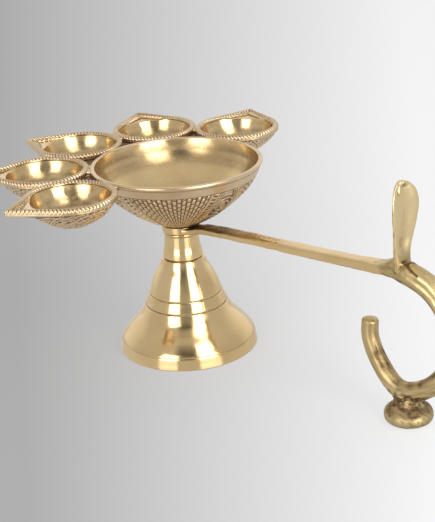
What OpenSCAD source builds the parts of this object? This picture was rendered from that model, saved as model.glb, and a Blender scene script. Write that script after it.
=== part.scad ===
// Hand-held brass aarti lamp: a central oil bowl and a fan of five wick cups on a turned bell foot,
// with a flat handle bar, a thumb leaf and a finger loop on its own button foot.
// Millimetres. +Z is up, +X runs along the handle, and the origin is on the ground, on the bell's axis.

/* [Bell foot] */
// Greatest diameter of the bell, at its lip
bell_d = 65; // [60:0.5:70]
// Height of the bell up to the joint line under the neck
bell_h = 44.4; // [43:0.2:46]
// Height of the upright lip band
lip_h = 5.8; // [4:0.1:7]
// Wall thickness of the bell
bell_wall = 2.2; // [1.6:0.1:3]
// Thickness of the solid crown that the stud passes through
crown_t = 6; // [4:0.1:7]
// Depth of the two turned grooves
groove_depth = 0.35; // [0.2:0.05:0.6]

/* [Neck] */
// Diameter of the neck sleeve where it meets the bell
neck_d = 18.6; // [17:0.2:19]
// Diameter of the neck sleeve at its slim middle
neck_waist_d = 16.4; // [15:0.2:17]
// Height of the neck sleeve
neck_h = 12.6; // [11:0.2:14]
// Diameter of the handle's eye, clamped between the sleeve and the bowl
eye_d = 17.4; // [16:0.2:18]

/* [Clamp] */
// Diameter of the clamp stud
stud_d = 8; // [6:0.5:9]
// Radial clearance of the stud in its plain bores
stud_gap = 0.05; // [0.02:0.01:0.1]
// Width across the flats of the clamp nut
nut_flats = 13; // [11:0.5:14]
// Height of the clamp nut
nut_h = 6.5; // [5:0.1:7]
// Diameter of the washer under the bell's crown
washer_d = 16; // [14:0.5:17]
// Thickness of that washer
washer_t = 1.6; // [1:0.1:2]
// Thickness of the seat washer between the handle's eye and the bowl
seat_t = 0.6; // [0.4:0.1:1]
// Diameter of the seat washer
seat_washer_d = 14; // [12:0.5:16]

/* [Bowl] */
// Diameter over the bowl's rim
bowl_d = 78; // [70:0.5:80]
// Height of the bowl, from its seat to its rim
bowl_h = 28.8; // [24:0.2:32]
// Diameter of the bowl's seat
seat_d = 18.6; // [16:0.2:20]
// Width of the bowl's flat rim
rim_w = 2; // [1.4:0.1:3]

/* [Wick cups] */
// Diameter over a cup's rim
cup_d = 40.8; // [36:0.2:40.9]
// Width of a cup's roped rim
cup_rim_w = 2.9; // [2:0.1:3.5]
// Depth of a cup outside
cup_h = 14; // [11:0.5:15]
// Distance from a cup's centre to the tip of its beak
beak_reach = 30.6; // [28:0.2:34]
// Height of the beak's side
beak_h = 2.6; // [2:0.1:4]
// Angle between neighbouring cups
cup_pitch = 40.2; // [40:0.1:42]
// How far the middle cup is turned from the handle's line
fan_offset = 5.8; // [-8:0.1:8]

/* [Handle] */
// Width of the handle bar where it leaves the neck
bar_w_neck = 8.4; // [6:0.2:9]
// Width of the handle bar at its middle
bar_w_mid = 7.2; // [5:0.2:8]
// Width of the handle bar at the finger loop
bar_w_end = 9.6; // [6:0.2:10]
// Thickness of the handle bar near the neck
bar_t = 3.2; // [2.6:0.1:4]
// Thickness of the handle bar where it meets the finger loop
bar_t_end = 4.8; // [3.2:0.1:5]
// Distance from the bell's axis to the end of the bar
bar_end_x = 120; // [116:1:126]
// Diameter of the finger loop's rod where it leaves the bar
loop_d = 10.2; // [7:0.1:10.6]
// Diameter of the finger loop's rod at its free tail
tail_d = 7; // [6:0.1:8]
// Height of the tip of the thumb leaf above the ground
leaf_top = 103; // [98:0.5:106]
// Greatest width of the thumb leaf
leaf_w = 17.4; // [12:0.2:18]
// Diameter of the button foot under the loop
button_d = 20.6; // [18:0.2:22]

/* [Hidden] */

$fn = 96;
brass = [0.80, 0.66, 0.38];
old_brass = [0.70, 0.56, 0.32];

// how far each cup's beak is turned from the spoke through its cup, as it was brazed by hand
beak_turn = [-9, 1.5, 12.5, 6.5, 13.5];

// number of cups in the fan
cup_n = 5;

// heights up the column
eye_h = 3.4;
eye_z = bell_h + neck_h;
seat_z = eye_z + eye_h;
bowl_z = seat_z + seat_t;
bowl_rim_z = bowl_z + bowl_h;
cup_rim_z = bowl_rim_z + 0.5;
washer_z = bell_h - crown_t - washer_t;
nut_z = washer_z - nut_h;
stud_low = nut_z - 2;
stud_high = bowl_z + 4;
bore_r = stud_d / 2 + stud_gap;

// cups stand in a ring that all but touches the bowl's rim
cup_gap = 0.35;
cup_ring_r = bowl_d / 2 + cup_gap + cup_d / 2;
function cup_angle(i) = 180 + fan_offset + cup_pitch * ((cup_n + 1) / 2 - i);

// handle: the bar's centre line climbs from the eye to the loop
eye_mid = eye_z + eye_h / 2;
bar_rise = 6.5;
// where the bar starts to thicken toward the finger loop
bar_taper_x = 30;
bar_line = [
    [0, eye_mid], [9, eye_mid], [18, eye_mid + 1.7], [45, eye_mid + 3.2], [85, eye_mid + 4.7],
    [bar_end_x, eye_mid + bar_rise]
];
// the finger loop's rod, from the end of the bar round to its free tail, as [x, z]
loop_line = [
    [bar_end_x, eye_mid + bar_rise], [129, 64.8], [139.4, 60], [146.3, 51], [148.9, 40], [146.3, 28.6], [139.5, 19.6],
    [130, 13.9], [122.8, 12.9], [116.4, 17.4], [111, 25.2], [107.9, 33], [108.2, 41]
];
leaf_x = 124.3;
button_x = 127;
button_h = 9.4;

// ---- curves

// one stretch of a Catmull-Rom curve
function cr(a, b, c, d, t) =
    0.5 * (2 * b + (c - a) * t + (2 * a - 5 * b + 4 * c - d) * t * t + (3 * b - a - 3 * c + d) * t * t * t);

// a smooth open curve through the points p, with n steps between neighbours
function smooth(p, n) = let (k = len(p) - 1) concat(
    [for (i = [0 : k - 1]) for (s = [0 : n - 1])
        cr(p[max(i - 1, 0)], p[i], p[i + 1], p[min(i + 2, k)], s / n)],
    [p[k]]);

// a rod swept along a path in the XZ plane, with a radius for each of its points, as a closed mesh
module swept_rod(path, radii, sides = 20) {
    k = len(path) - 1;
    function along(i) = let (d = path[min(i + 1, k)] - path[max(i - 1, 0)]) d / norm(d);
    rings = [for (i = [0 : k]) for (j = [0 : sides - 1])
        let (t = along(i), a = 360 * j / sides, out = radii[i] * cos(a))
        [path[i][0] - t[1] * out, radii[i] * sin(a), path[i][1] + t[0] * out]];
    sheets = [for (i = [0 : k - 1]) for (j = [0 : sides - 1]) let (jj = (j + 1) % sides)
        [i * sides + j, i * sides + jj, (i + 1) * sides + jj, (i + 1) * sides + j]];
    polyhedron(rings, concat(sheets,
        [[for (j = [sides - 1 : -1 : 0]) j]],
        [[for (j = [0 : sides - 1]) k * sides + j]]), convexity = 6);
}

// ---- foot column

// The bell's outline from the crown down to the lip: a shoulder under the joint line, a waist that carries
// the grooves, and a flare. Each row is [share of the way out to the lip, share of the way up to the joint].
lip_r = bell_d / 2;
crown_r = neck_d / 2 + 0.5;
bell_curve = [for (p = [
        [0, 1], [0.055, 0.912], [0.161, 0.808], [0.267, 0.679], [0.341, 0.554], [0.438, 0.42],
        [0.544, 0.306], [0.682, 0.212], [0.83, 0.124], [0.94, 0.049], [1, 0]
    ]) [crown_r + (lip_r - 1 - crown_r) * p[0], lip_h + (bell_h - lip_h) * p[1]]];
// the lip band swells a little below the flare
lip_curve = [[lip_r - 0.9, lip_h - 0.1], [lip_r, lip_h / 2], [lip_r - 0.5, 0]];
// rows of the outline where the two grooves are
groove_rows = [4, 5];

// a round-bottomed groove turned into a wall at p = [radius, height]
module groove(p) {
    rotate_extrude() translate([p[0] + 0.1, p[1]]) circle(r = groove_depth + 0.15, $fn = 16);
}

module bell_foot() {
    inside = [for (p = smooth(bell_curve, 4)) if (p[1] < bell_h - crown_t) [p[0] - bell_wall, p[1]]];
    color(brass) difference() {
        rotate_extrude() polygon(concat([[0, 0], [0, bell_h]], smooth(bell_curve, 4), smooth(lip_curve, 4)));
        rotate_extrude() polygon(concat([[0, -1], [0, bell_h - crown_t], [inside[0][0], bell_h - crown_t]],
            inside, [[lip_r - 0.9 - bell_wall, -1]]));
        translate([0, 0, bell_h - crown_t - 1]) cylinder(r = bore_r, h = crown_t + 2);
        for (i = groove_rows) groove(bell_curve[i]);
    }
}

module neck_sleeve() {
    wall = smooth([[neck_d / 2, bell_h], [neck_waist_d / 2, bell_h + 0.45 * neck_h],
        [neck_waist_d / 2, bell_h + 0.8 * neck_h], [neck_waist_d / 2 + 0.3, eye_z]], 4);
    color(brass) rotate_extrude() polygon(concat([[bore_r, eye_z], [bore_r, bell_h]], wall));
}

module bell_washer() {
    color(brass) translate([0, 0, washer_z]) difference() {
        cylinder(d = washer_d, h = washer_t);
        translate([0, 0, -1]) cylinder(r = bore_r, h = washer_t + 2);
    }
}

module clamp_nut() {
    color(old_brass) translate([0, 0, nut_z]) difference() {
        intersection() {
            cylinder(r = nut_flats / sqrt(3), h = nut_h, $fn = 6);
            cylinder(r1 = nut_flats / 2 - 0.1, r2 = nut_flats / 2 - 0.1 + nut_h * 1.7, h = nut_h);
        }
        translate([0, 0, -1]) cylinder(r = bore_r, h = nut_h + 2);
    }
}

module clamp_stud() {
    color(brass) translate([0, 0, stud_low]) {
        cylinder(r1 = stud_d / 2 - 0.7, r2 = stud_d / 2, h = 0.7);
        translate([0, 0, 0.7]) cylinder(d = stud_d, h = stud_high - stud_low - 0.7);
    }
}

module seat_washer() {
    color(old_brass) translate([0, 0, seat_z]) difference() {
        cylinder(d = seat_washer_d, h = seat_t);
        translate([0, 0, -1]) cylinder(r = bore_r, h = seat_t + 2);
    }
}

// ---- head

// outlines of the bowl, as [radius, height above its seat]; the rows between their ends are shares of the
// rim's radius and of the bowl's height
bowl_r = bowl_d / 2;
function bowl_rows(shares) = [for (p = shares) [bowl_r * p[0], bowl_h * p[1]]];
bowl_outer = smooth(concat(
    [[seat_d / 2, 0]],
    bowl_rows([[0.344, 0.066], [0.523, 0.208], [0.697, 0.396], [0.851, 0.597], [0.938, 0.785]]),
    [[bowl_r - 0.6, bowl_h - 2]]), 4);
bowl_inner = smooth(concat(
    bowl_rows([[0, 0.16], [0.282, 0.208], [0.564, 0.361], [0.795, 0.611], [0.903, 0.812]]),
    [[bowl_r - rim_w, bowl_h]]), 4);

module bowl() {
    rim = [[bowl_r, bowl_h - 1.5], [bowl_r, bowl_h - 0.4], [bowl_r - 0.4, bowl_h]];
    color(brass) translate([0, 0, bowl_z]) difference() {
        rotate_extrude() polygon(concat([[0, 0]], bowl_outer, rim, [[0, bowl_h]]));
        rotate_extrude() polygon(concat([[0, bowl_h + 1]], bowl_inner, [[bowl_r - rim_w, bowl_h + 1]]));
        translate([0, 0, -1]) cylinder(d = stud_d, h = stud_high - bowl_z + 1);
    }
}

// a cup's shapes, with the middle of its rim at the origin and its beak along +X
cup_r = cup_d / 2;
cup_in_r = cup_r - cup_rim_w;
module cup_dish() {
    rotate_extrude() polygon(concat([[0, 0]],
        smooth([[0, -cup_h], [7, -cup_h + 0.8], [13.6, -cup_h + 4.2], [18, -cup_h + 8.6], [cup_r, -2]], 4),
        [[cup_r, 0]]));
}

module cup_hollow() {
    rotate_extrude() polygon(concat([[0, 1]],
        smooth([[0, 1.6 - cup_h], [7.6, 2.2 - cup_h], [12, 4 - cup_h], [14.6, 6.6 - cup_h], [16.3, 10 - cup_h],
            [cup_in_r, -0.6]], 4),
        [[cup_in_r, 1]]));
}

// plan outline of a pointed spout whose straight sides leave a circle of radius r at a tangent
function spout(r, reach, nose) = let (a = acos(r / reach))
    [[0, 0], [r * cos(a), -r * sin(a)], [reach - nose, -nose], [reach, 0], [reach - nose, nose],
     [r * cos(a), r * sin(a)]];

module cup(i) {
    color(brass) rotate([0, 0, cup_angle(i)]) translate([cup_ring_r, 0, cup_rim_z])
    rotate([0, 0, beak_turn[i - 1]]) difference() {
        union() {
            cup_dish();
            translate([0, 0, -beak_h]) linear_extrude(beak_h) polygon(spout(cup_r, beak_reach, 1));
        }
        cup_hollow();
        translate([0, 0, 1 - beak_h]) linear_extrude(beak_h) polygon(spout(cup_in_r, beak_reach - 6.8, 0.4));
    }
}

module cup_1() { cup(1); }
module cup_2() { cup(2); }
module cup_3() { cup(3); }
module cup_4() { cup(4); }
module cup_5() { cup(5); }

// Small webs of braze at rim height: one from the bowl to each cup, and one between neighbouring cups. Each is
// a block cut back to the round walls beside it.
module web(angle, r, size) {
    rotate([0, 0, angle]) translate([r - size[0] / 2, -size[1] / 2, bowl_rim_z - size[2]]) cube(size);
}

module cup_webs() {
    web_h = 3;
    $fn = 256;
    color(old_brass) difference() {
        union() {
            for (i = [1 : cup_n]) web(cup_angle(i), bowl_r + cup_gap / 2, [5, 11, web_h]);
            for (i = [1 : cup_n - 1])
                web((cup_angle(i) + cup_angle(i + 1)) / 2, cup_ring_r * cos(cup_pitch / 2), [9, 4, web_h]);
        }
        translate([0, 0, bowl_z]) cylinder(r = bowl_r, h = bowl_h + 1);
        for (i = [1 : cup_n])
            rotate([0, 0, cup_angle(i)]) translate([cup_ring_r, 0, bowl_z]) cylinder(r = cup_r, h = bowl_h + 1);
    }
}

// ---- handle

// half the bar's thickness at a distance x from the bowl's axis
function bar_half(x) = (bar_t + (bar_t_end - bar_t) * max(0, x - bar_taper_x) / (bar_end_x - bar_taper_x)) / 2;

module bar_side() {
    line = smooth(bar_line, 6);
    k = len(line) - 1;
    rotate([90, 0, 0]) translate([0, 0, -10]) linear_extrude(20) polygon(concat(
        [for (i = [0 : k]) line[i] - [0, bar_half(line[i][0])]],
        [for (i = [k : -1 : 0]) line[i] + [0, bar_half(line[i][0])]]));
}

module bar_plan() {
    side = smooth([[0, bar_w_neck / 2], [22, bar_w_neck / 2], [70, bar_w_mid / 2], [104, bar_w_mid / 2],
        [bar_end_x, bar_w_end / 2]], 6);
    k = len(side) - 1;
    linear_extrude(80) polygon(concat(side, [for (i = [k : -1 : 0]) [side[i][0], -side[i][1]]]));
}

module handle_bar() {
    color(brass) difference() {
        union() {
            translate([0, 0, eye_z]) cylinder(d = eye_d, h = eye_h);
            intersection() {
                bar_side();
                bar_plan();
            }
        }
        translate([0, 0, eye_z - 1]) cylinder(r = bore_r, h = eye_h + 2);
        // the eye's two faces are filed flat where it is clamped
        translate([0, 0, eye_z - 2]) cylinder(d = neck_d + 2, h = 2);
        translate([0, 0, seat_z]) cylinder(d = neck_d + 2, h = 2);
    }
}

module finger_loop() {
    line = smooth(loop_line, 5);
    k = len(line) - 1;
    tail = 4;
    root = 5;
    radii = [for (i = [0 : k]) let (s = max(0, i - k + tail) / tail, b = max(0, root - i) / root)
        (tail_d + (loop_d - tail_d) * (1 - i / k)) / 2 * sqrt(1 - 0.8 * s * s) * (1 - 0.36 * b * b)];
    color(old_brass) swept_rod(line, radii);
}

// the thumb leaf: thin lens sections from the loop up to a rounded tip, as [share of its height, half width,
// how far it leans along X]
module thumb_leaf() {
    base = eye_mid + bar_rise + 1.8;
    tall = leaf_top - base;
    w = leaf_w / 2;
    rows = smooth([
        [0, 0.58 * w, 0], [0.22, 0.62 * w, 0], [0.5, 0.88 * w, 1.4], [0.72, w, 2], [0.87, 0.86 * w, 1.3],
        [0.96, 0.52 * w, 0.1], [1, 0.12 * w, -0.4]
    ], 3);
    sides = 24;
    k = len(rows) - 1;
    points = [for (p = rows) for (j = [0 : sides - 1])
        let (a = 360 * j / sides, thick = 1.1 + 0.9 * (1 - p[0]))
        [leaf_x + p[2] + thick * cos(a), p[1] * sin(a), base + tall * p[0]]];
    sheets = [for (i = [0 : k - 1]) for (j = [0 : sides - 1]) let (jj = (j + 1) % sides)
        [i * sides + jj, i * sides + j, (i + 1) * sides + j, (i + 1) * sides + jj]];
    color(brass) polyhedron(points, concat(sheets,
        [[for (j = [0 : sides - 1]) j]],
        [[for (j = [sides - 1 : -1 : 0]) k * sides + j]]), convexity = 4);
}

module button_foot() {
    r = button_d / 2;
    color(old_brass) translate([button_x, 0, 0]) rotate_extrude() polygon(concat([[0, 0]],
        smooth([[r - 2.4, 0], [r - 0.4, 1.4], [r, 3.2], [r - 0.6, 5], [r - 2.6, 6.6], [5.6, 8.2], [5, button_h]], 4),
        [[0, button_h]]));
}

bell_foot();
neck_sleeve();
bell_washer();
clamp_nut();
clamp_stud();
seat_washer();
bowl();
cup_1();
cup_2();
cup_3();
cup_4();
cup_5();
cup_webs();
handle_bar();
finger_loop();
thumb_leaf();
button_foot();
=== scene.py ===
"""Looks of a hand-held brass aarti lamp: an oil bowl and a fan of five roped wick cups on a turned bell
foot, with a handle bar, thumb leaf, finger loop and button foot. Sizes are millimetres in the part's own
frame, and they turn into metres where a mesh is made."""

import math

import bpy
import numpy as np
from mathutils import Matrix, Vector


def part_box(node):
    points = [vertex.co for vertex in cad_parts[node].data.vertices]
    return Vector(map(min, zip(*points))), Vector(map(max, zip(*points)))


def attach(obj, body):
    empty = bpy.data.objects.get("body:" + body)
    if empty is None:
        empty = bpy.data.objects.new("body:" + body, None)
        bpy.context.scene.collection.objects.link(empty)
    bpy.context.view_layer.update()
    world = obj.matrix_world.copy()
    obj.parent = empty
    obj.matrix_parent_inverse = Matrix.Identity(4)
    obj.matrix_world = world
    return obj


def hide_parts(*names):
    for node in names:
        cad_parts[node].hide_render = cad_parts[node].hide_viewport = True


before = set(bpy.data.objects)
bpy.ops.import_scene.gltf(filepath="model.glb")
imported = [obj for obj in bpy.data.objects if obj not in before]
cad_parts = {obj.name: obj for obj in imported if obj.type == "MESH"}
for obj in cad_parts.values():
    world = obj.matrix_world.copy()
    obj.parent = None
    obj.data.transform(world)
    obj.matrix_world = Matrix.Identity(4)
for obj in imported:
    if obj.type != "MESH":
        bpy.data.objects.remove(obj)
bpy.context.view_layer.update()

MM = 0.001
TURN = 2 * math.pi


def box_mm(node):
    """Lowest and highest corner of a CAD node, in millimetres."""
    lo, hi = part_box(node)
    return np.array(lo) / MM, np.array(hi) / MM


# ---- curves

def smooth(points, steps):
    """Catmull-Rom curve through the points, the same curve as in the part's source."""
    p = np.asarray(points, float)
    last = len(p) - 1
    t = (np.arange(steps) / steps)[:, None]
    out = []
    for i in range(last):
        a, b, c, d = p[max(i - 1, 0)], p[i], p[i + 1], p[min(i + 2, last)]
        out.append(0.5 * (2 * b + (c - a) * t + (2 * a - 5 * b + 4 * c - d) * t**2
                          + (3 * b - a - 3 * c + d) * t**3))
    return np.vstack(out + [p[last:]])


def evenly(line, step):
    """The polyline with points about one step apart."""
    gone = np.r_[0, np.cumsum(np.linalg.norm(np.diff(line, axis=0), axis=1))]
    s = np.linspace(0, gone[-1], max(2, round(gone[-1] / step) + 1))
    return np.stack([np.interp(s, gone, line[:, k]) for k in range(line.shape[1])], 1)


def eased(points, cut, steps=4):
    """The closed polyline with each corner replaced by a short curve that starts cut before it."""
    p = np.asarray(points, float)
    t = np.linspace(0, 1, steps + 1)[:, None]
    out = []
    for before, here, after in zip(np.roll(p, 1, 0), p, np.roll(p, -1, 0)):
        a = here + (before - here) * min(0.45, cut / np.linalg.norm(before - here))
        b = here + (after - here) * min(0.45, cut / np.linalg.norm(after - here))
        out.append((1 - t)**2 * a + 2 * t * (1 - t) * here + t**2 * b)
    return np.vstack(out)


def step_up(x, low, high):
    """0 below low, 1 above high, and smooth between them."""
    t = np.clip((x - low) / (high - low), 0, 1)
    return t * t * (3 - 2 * t)


def ridge(x, half):
    """1 at x = 0, falling to 0 at a distance of half."""
    return 1 - step_up(np.abs(x), half * 0.5, half)


def uneven(points, size, seed, waves=14):
    """A smooth random field over points, about -1 to 1, with features of about the given size."""
    rng = np.random.default_rng(seed)
    way = rng.normal(size=(waves, 3))
    way *= (TURN / size) * rng.uniform(0.5, 1.2, (waves, 1)) / np.linalg.norm(way, axis=1, keepdims=True)
    phase = rng.uniform(0, TURN, waves)
    return np.sin(points @ way.T + phase).sum(-1) / math.sqrt(waves)


# ---- meshes

def angles(count):
    return np.arange(count) * TURN / count


def circled(a, radius, height):
    """Points at the angles a about Z. radius and height are numbers, or arrays that go with a."""
    return np.stack([radius * np.cos(a), radius * np.sin(a), height + 0 * a], -1)


def turned(profile, count):
    """Rings of [radius, height] rows turned about Z."""
    return circled(angles(count), profile[:, :1], profile[:, 1:])


def skinned(rows, loop=False, start=None, end=None):
    """Points and faces of a closed skin over rings. Its ends join each other, or each closes on a point."""
    n, m = rows.shape[:2]
    ids = np.arange(n * m).reshape(n, m)
    a, b = (ids, np.roll(ids, -1, 0)) if loop else (ids[:-1], ids[1:])
    quads = np.stack([a, np.roll(a, -1, 1), np.roll(b, -1, 1), b], 2).reshape(-1, 4)
    points = rows.reshape(-1, 3)
    faces = quads.tolist()
    if not loop:
        points = np.vstack([points, start, end])
        first, last = ids[0], ids[-1]
        faces += np.stack([np.roll(first, -1), first, np.full(m, n * m)], 1).tolist()
        faces += np.stack([last, np.roll(last, -1), np.full(m, n * m + 1)], 1).tolist()
    corner = points[quads]
    crossed = [np.cross(corner[:, i], corner[:, i + 1]) for i in (1, 2)]
    volume = sum(np.einsum("ij,ij->i", corner[:, 0], c).sum() for c in crossed)
    return points, (faces if volume > 0 else [f[::-1] for f in faces])


def joined(parts):
    """Points and faces of several skins as one."""
    points, faces, start = [], [], 0
    for p, f in parts:
        points.append(p)
        faces += [[v + start for v in face] for face in f]
        start += len(p)
    return np.vstack(points), faces


def mesh_of(name, points, faces):
    mesh = bpy.data.meshes.new(name)
    mesh.from_pydata((points * MM).tolist(), [], faces)
    mesh.polygons.foreach_set("use_smooth", np.ones(len(mesh.polygons), bool))
    mesh.update()
    return mesh


def read(items, key, width, kind=np.float32):
    """One row of values for each of a mesh's vertices or edges."""
    values = np.empty(len(items) * width, kind)
    items.foreach_get(key, values)
    return values.reshape(-1, width)


def mark_relief(mesh, rounds, depth):
    """Stores how far each vertex is sunk (above 0) or raised (below 0) against the surface around it."""
    n = len(mesh.vertices)
    co = read(mesh.vertices, "co", 3).astype(float)
    normal = read(mesh.vertices, "normal", 3)
    a, b = read(mesh.edges, "vertices", 2, np.int32).T
    count = np.bincount(a, minlength=n) + np.bincount(b, minlength=n)
    soft = co.copy()
    for _ in range(rounds):
        soft = np.stack([np.bincount(a, soft[b, k], n) + np.bincount(b, soft[a, k], n)
                         for k in range(3)], 1)
        soft /= np.maximum(count, 1)[:, None]
    rise = ((soft - co) * normal).sum(1) / (depth * MM)
    store(mesh, "relief", np.clip(rise, -1, 1))


def store(mesh, name, values):
    """Keeps a value for each vertex, for the materials: relief, grime (dirt and painted shade), worn or
    reach.
    """
    layer = mesh.attributes.get(name) or mesh.attributes.new(name, "FLOAT", "POINT")
    layer.data.foreach_set("value", np.asarray(values, np.float32))


def piece(mesh, body, nodes, materials, place=None):
    """Adds a mesh as a piece that rides on a body and stands for CAD nodes. A mesh made about its own axis
    is moved by place, and keeps each vertex's reach from that axis for its lathe marks."""
    obj = bpy.data.objects.new(mesh.name, mesh)
    bpy.context.scene.collection.objects.link(obj)
    for material in materials:
        mesh.materials.append(material)
    co = read(mesh.vertices, "co", 3)
    store(mesh, "reach", np.hypot(co[:, 0], co[:, 1]))
    for layer in ("relief", "grime_and_shade", "worn"):
        if layer not in mesh.attributes:
            store(mesh, layer, np.zeros(len(mesh.vertices)))
    if place is not None:
        mesh.transform(place)
    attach(obj, body)
    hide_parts(*nodes)


def use_second_material(mesh, *spans):
    """Gives the faces in the spans the second of the mesh's materials."""
    index = np.zeros(len(mesh.polygons), np.int32)
    for span in spans:
        index[span] = 1
    mesh.polygons.foreach_set("material_index", index)


def fused(name, parts, voxel, rounds):
    """One skin over overlapping closed meshes, with the joints between them softened."""
    points, faces = joined(parts)
    rough = bpy.data.objects.new(name + "_rough", mesh_of(name + "_rough", points, faces))
    bpy.context.scene.collection.objects.link(rough)
    remesh = rough.modifiers.new("remesh", "REMESH")
    remesh.mode = "VOXEL"
    remesh.voxel_size = voxel * MM
    soften = rough.modifiers.new("soften", "SMOOTH")
    soften.factor = 0.5
    soften.iterations = rounds
    mesh = bpy.data.meshes.new_from_object(rough.evaluated_get(bpy.context.evaluated_depsgraph_get()))
    mesh.name = name
    bpy.data.objects.remove(rough)
    mesh.polygons.foreach_set("use_smooth", np.ones(len(mesh.polygons), bool))
    return mesh


def push(mesh, amount):
    """Moves each vertex along its normal by its amount, but none below the ground."""
    co = read(mesh.vertices, "co", 3)
    co = co + read(mesh.vertices, "normal", 3) * (np.asarray(amount)[:, None] * MM)
    co[:, 2] = np.maximum(co[:, 2], 0)
    mesh.vertices.foreach_set("co", co.astype(np.float32).ravel())
    mesh.update()


# ---- materials

class Nodes:
    """Short names for building the node tree of a material or a world."""

    def __init__(self, owner):
        self.owner = owner
        owner.use_nodes = True
        self.tree = owner.node_tree
        self.tree.nodes.clear()

    def add(self, kind, inputs=(), **settings):
        node = self.tree.nodes.new(kind)
        for key, value in settings.items():
            setattr(node, key, value)
        for key, value in dict(inputs).items():
            if isinstance(value, bpy.types.NodeSocket):
                self.tree.links.new(value, node.inputs[key])
            else:
                node.inputs[key].default_value = value
        return node

    def layer(self, name):
        """A value that store keeps for each vertex."""
        return self.add("ShaderNodeAttribute", attribute_name=name).outputs["Fac"]

    def noise(self, vector, scale, detail=3.0, rough=0.5):
        return self.add("ShaderNodeTexNoise", {"Vector": vector, "Scale": scale, "Detail": detail,
                                               "Roughness": rough}).outputs["Fac"]

    def ranged(self, value, low, high, to_low, to_high):
        return self.add("ShaderNodeMapRange", {"Value": value, "From Min": low, "From Max": high,
                                               "To Min": to_low, "To Max": to_high}).outputs["Result"]

    def math(self, how, a, b):
        return self.add("ShaderNodeMath", {0: a, 1: b}, operation=how).outputs[0]

    def mixed(self, share, a, b):
        node = self.add("ShaderNodeMix", {0: share, 6: a, 7: b}, data_type="RGBA")
        return node.outputs[2]


def rgb(r, g, b):
    return (r, g, b, 1.0)


CLEAN = (rgb(0.80, 0.60, 0.32), rgb(0.71, 0.50, 0.24))
PALE = (rgb(0.80, 0.63, 0.41), rgb(0.62, 0.445, 0.26))
AGED = (rgb(0.68, 0.53, 0.27), rgb(0.45, 0.325, 0.145))
WORN = rgb(0.90, 0.73, 0.42)
# dark colour of patina in hollows, also laid on for dirt and for painted shade
PATINA_AND_SHADE = rgb(0.13, 0.075, 0.04)
# noise scales, per metre
PATCHES = 38.0
POLISH_PATCHES = 160.0
LATHE_LINES = 1100.0
# roughness that full patina adds
PATINA_ROUGH = 0.35
BUMP_HEIGHT = 0.1 * MM


def brass(name, tones, rough, spread, bump, grain, patina_and_shade, turned_lines=0.0):
    """Brass with patches of two tones, uneven polish, grain, and dark patina where the surface is sunk. The
    same dark colour paints the grime layer, which holds dirt and painted shade. rough and spread set the
    polish, bump and grain set the grain's height and its size in millimetres, and turned_lines adds lathe
    marks."""
    n = Nodes(bpy.data.materials.new(name))
    where = n.add("ShaderNodeTexCoord").outputs["Object"]
    fine = n.noise(where, 1.0 / (grain * MM), 4.0, 0.6)
    patches = n.noise(where, PATCHES, 4.0, 0.55)
    tone = n.mixed(n.ranged(patches, 0.36, 0.66, 0.0, 1.0), *tones)
    tone = n.mixed(n.layer("worn"), tone, WORN)
    sunk = n.math("MULTIPLY", n.ranged(n.layer("relief"), 0.05, 0.75, 0.0, 1.0),
                  n.ranged(fine, 0.25, 0.6, 0.55, 1.0))
    # the grime layer darkens the brass for dirt and for painted shade
    dirt_and_shade = n.math("MULTIPLY", n.layer("grime_and_shade"), n.ranged(fine, 0.35, 0.6, 0.65, 1.0))
    cover = n.math("MULTIPLY", n.math("MAXIMUM", sunk, dirt_and_shade), patina_and_shade)
    colour = n.mixed(cover, tone, PATINA_AND_SHADE)
    matte = n.math("ADD", n.ranged(n.noise(where, POLISH_PATCHES), 0.3, 0.7, rough, rough + spread),
                   n.math("MULTIPLY", cover, PATINA_ROUGH))
    height = n.math("MULTIPLY", fine, bump)
    if turned_lines:
        split = n.add("ShaderNodeSeparateXYZ", {0: where})
        rings = n.add("ShaderNodeCombineXYZ", {0: n.layer("reach"), 1: split.outputs[2]}).outputs[0]
        lines = n.noise(rings, LATHE_LINES, 2.0)
        height = n.math("ADD", height, n.math("MULTIPLY", lines, turned_lines))
    normal = n.add("ShaderNodeBump", {"Height": height, "Strength": 1.0,
                                      "Distance": BUMP_HEIGHT}).outputs[0]
    shader = n.add("ShaderNodeBsdfPrincipled", {
        "Base Color": colour, "Metallic": 1.0, "Roughness": matte, "Normal": normal})
    n.add("ShaderNodeOutputMaterial", {"Surface": shader.outputs[0]})
    return n.owner


POLISHED = brass("polished_brass", CLEAN, rough=0.10, spread=0.08, bump=0.012, grain=2.0, patina_and_shade=0.8,
                 turned_lines=0.014)
DRAWN = brass("drawn_brass", CLEAN, rough=0.16, spread=0.12, bump=0.06, grain=1.4, patina_and_shade=0.94)
CHASED = brass("chased_brass", PALE, rough=0.27, spread=0.14, bump=0.22, grain=0.8, patina_and_shade=0.94)
CAST = brass("cast_brass", AGED, rough=0.29, spread=0.14, bump=0.07, grain=1.2, patina_and_shade=0.97)
HARDWARE = brass("hardware_brass", AGED, rough=0.28, spread=0.14, bump=0.18, grain=0.8, patina_and_shade=0.8,
                 turned_lines=0.08)


def polish_inside(mesh, rows, first):
    """Gives the skin from ring number first on the mesh's second material."""
    height, around = rows.shape[:2]
    use_second_material(mesh, slice(first * around, (height - 1) * around), slice(-around, None))


def lathe_piece(name, outline, body, material, cut=0.35, count=160):
    """A turned ring: the closed outline of [radius, height] corners with its corners eased."""
    points, faces = skinned(turned(eased(outline, cut), count), loop=True)
    piece(mesh_of(name, points, faces), body, [name], [material])


# ---- foot column

# the bell's wall: share of the way out from the crown to the lip, and of the way up
BELL_SHARES = [
    [0, 1], [0.055, 0.912], [0.161, 0.808], [0.267, 0.679], [0.341, 0.554], [0.438, 0.42],
    [0.544, 0.306], [0.682, 0.212], [0.83, 0.124], [0.94, 0.049], [1, 0]
]
LIP_H = 5.8
CROWN_T = 6.0
BELL_WALL = 2.2
BORE_R = 4.05
# rows of BELL_SHARES where there is a groove
GROOVE_ROWS = (4, 5)
GROOVE_DEPTH = 0.34
GROOVE_HALF = 0.3


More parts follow.
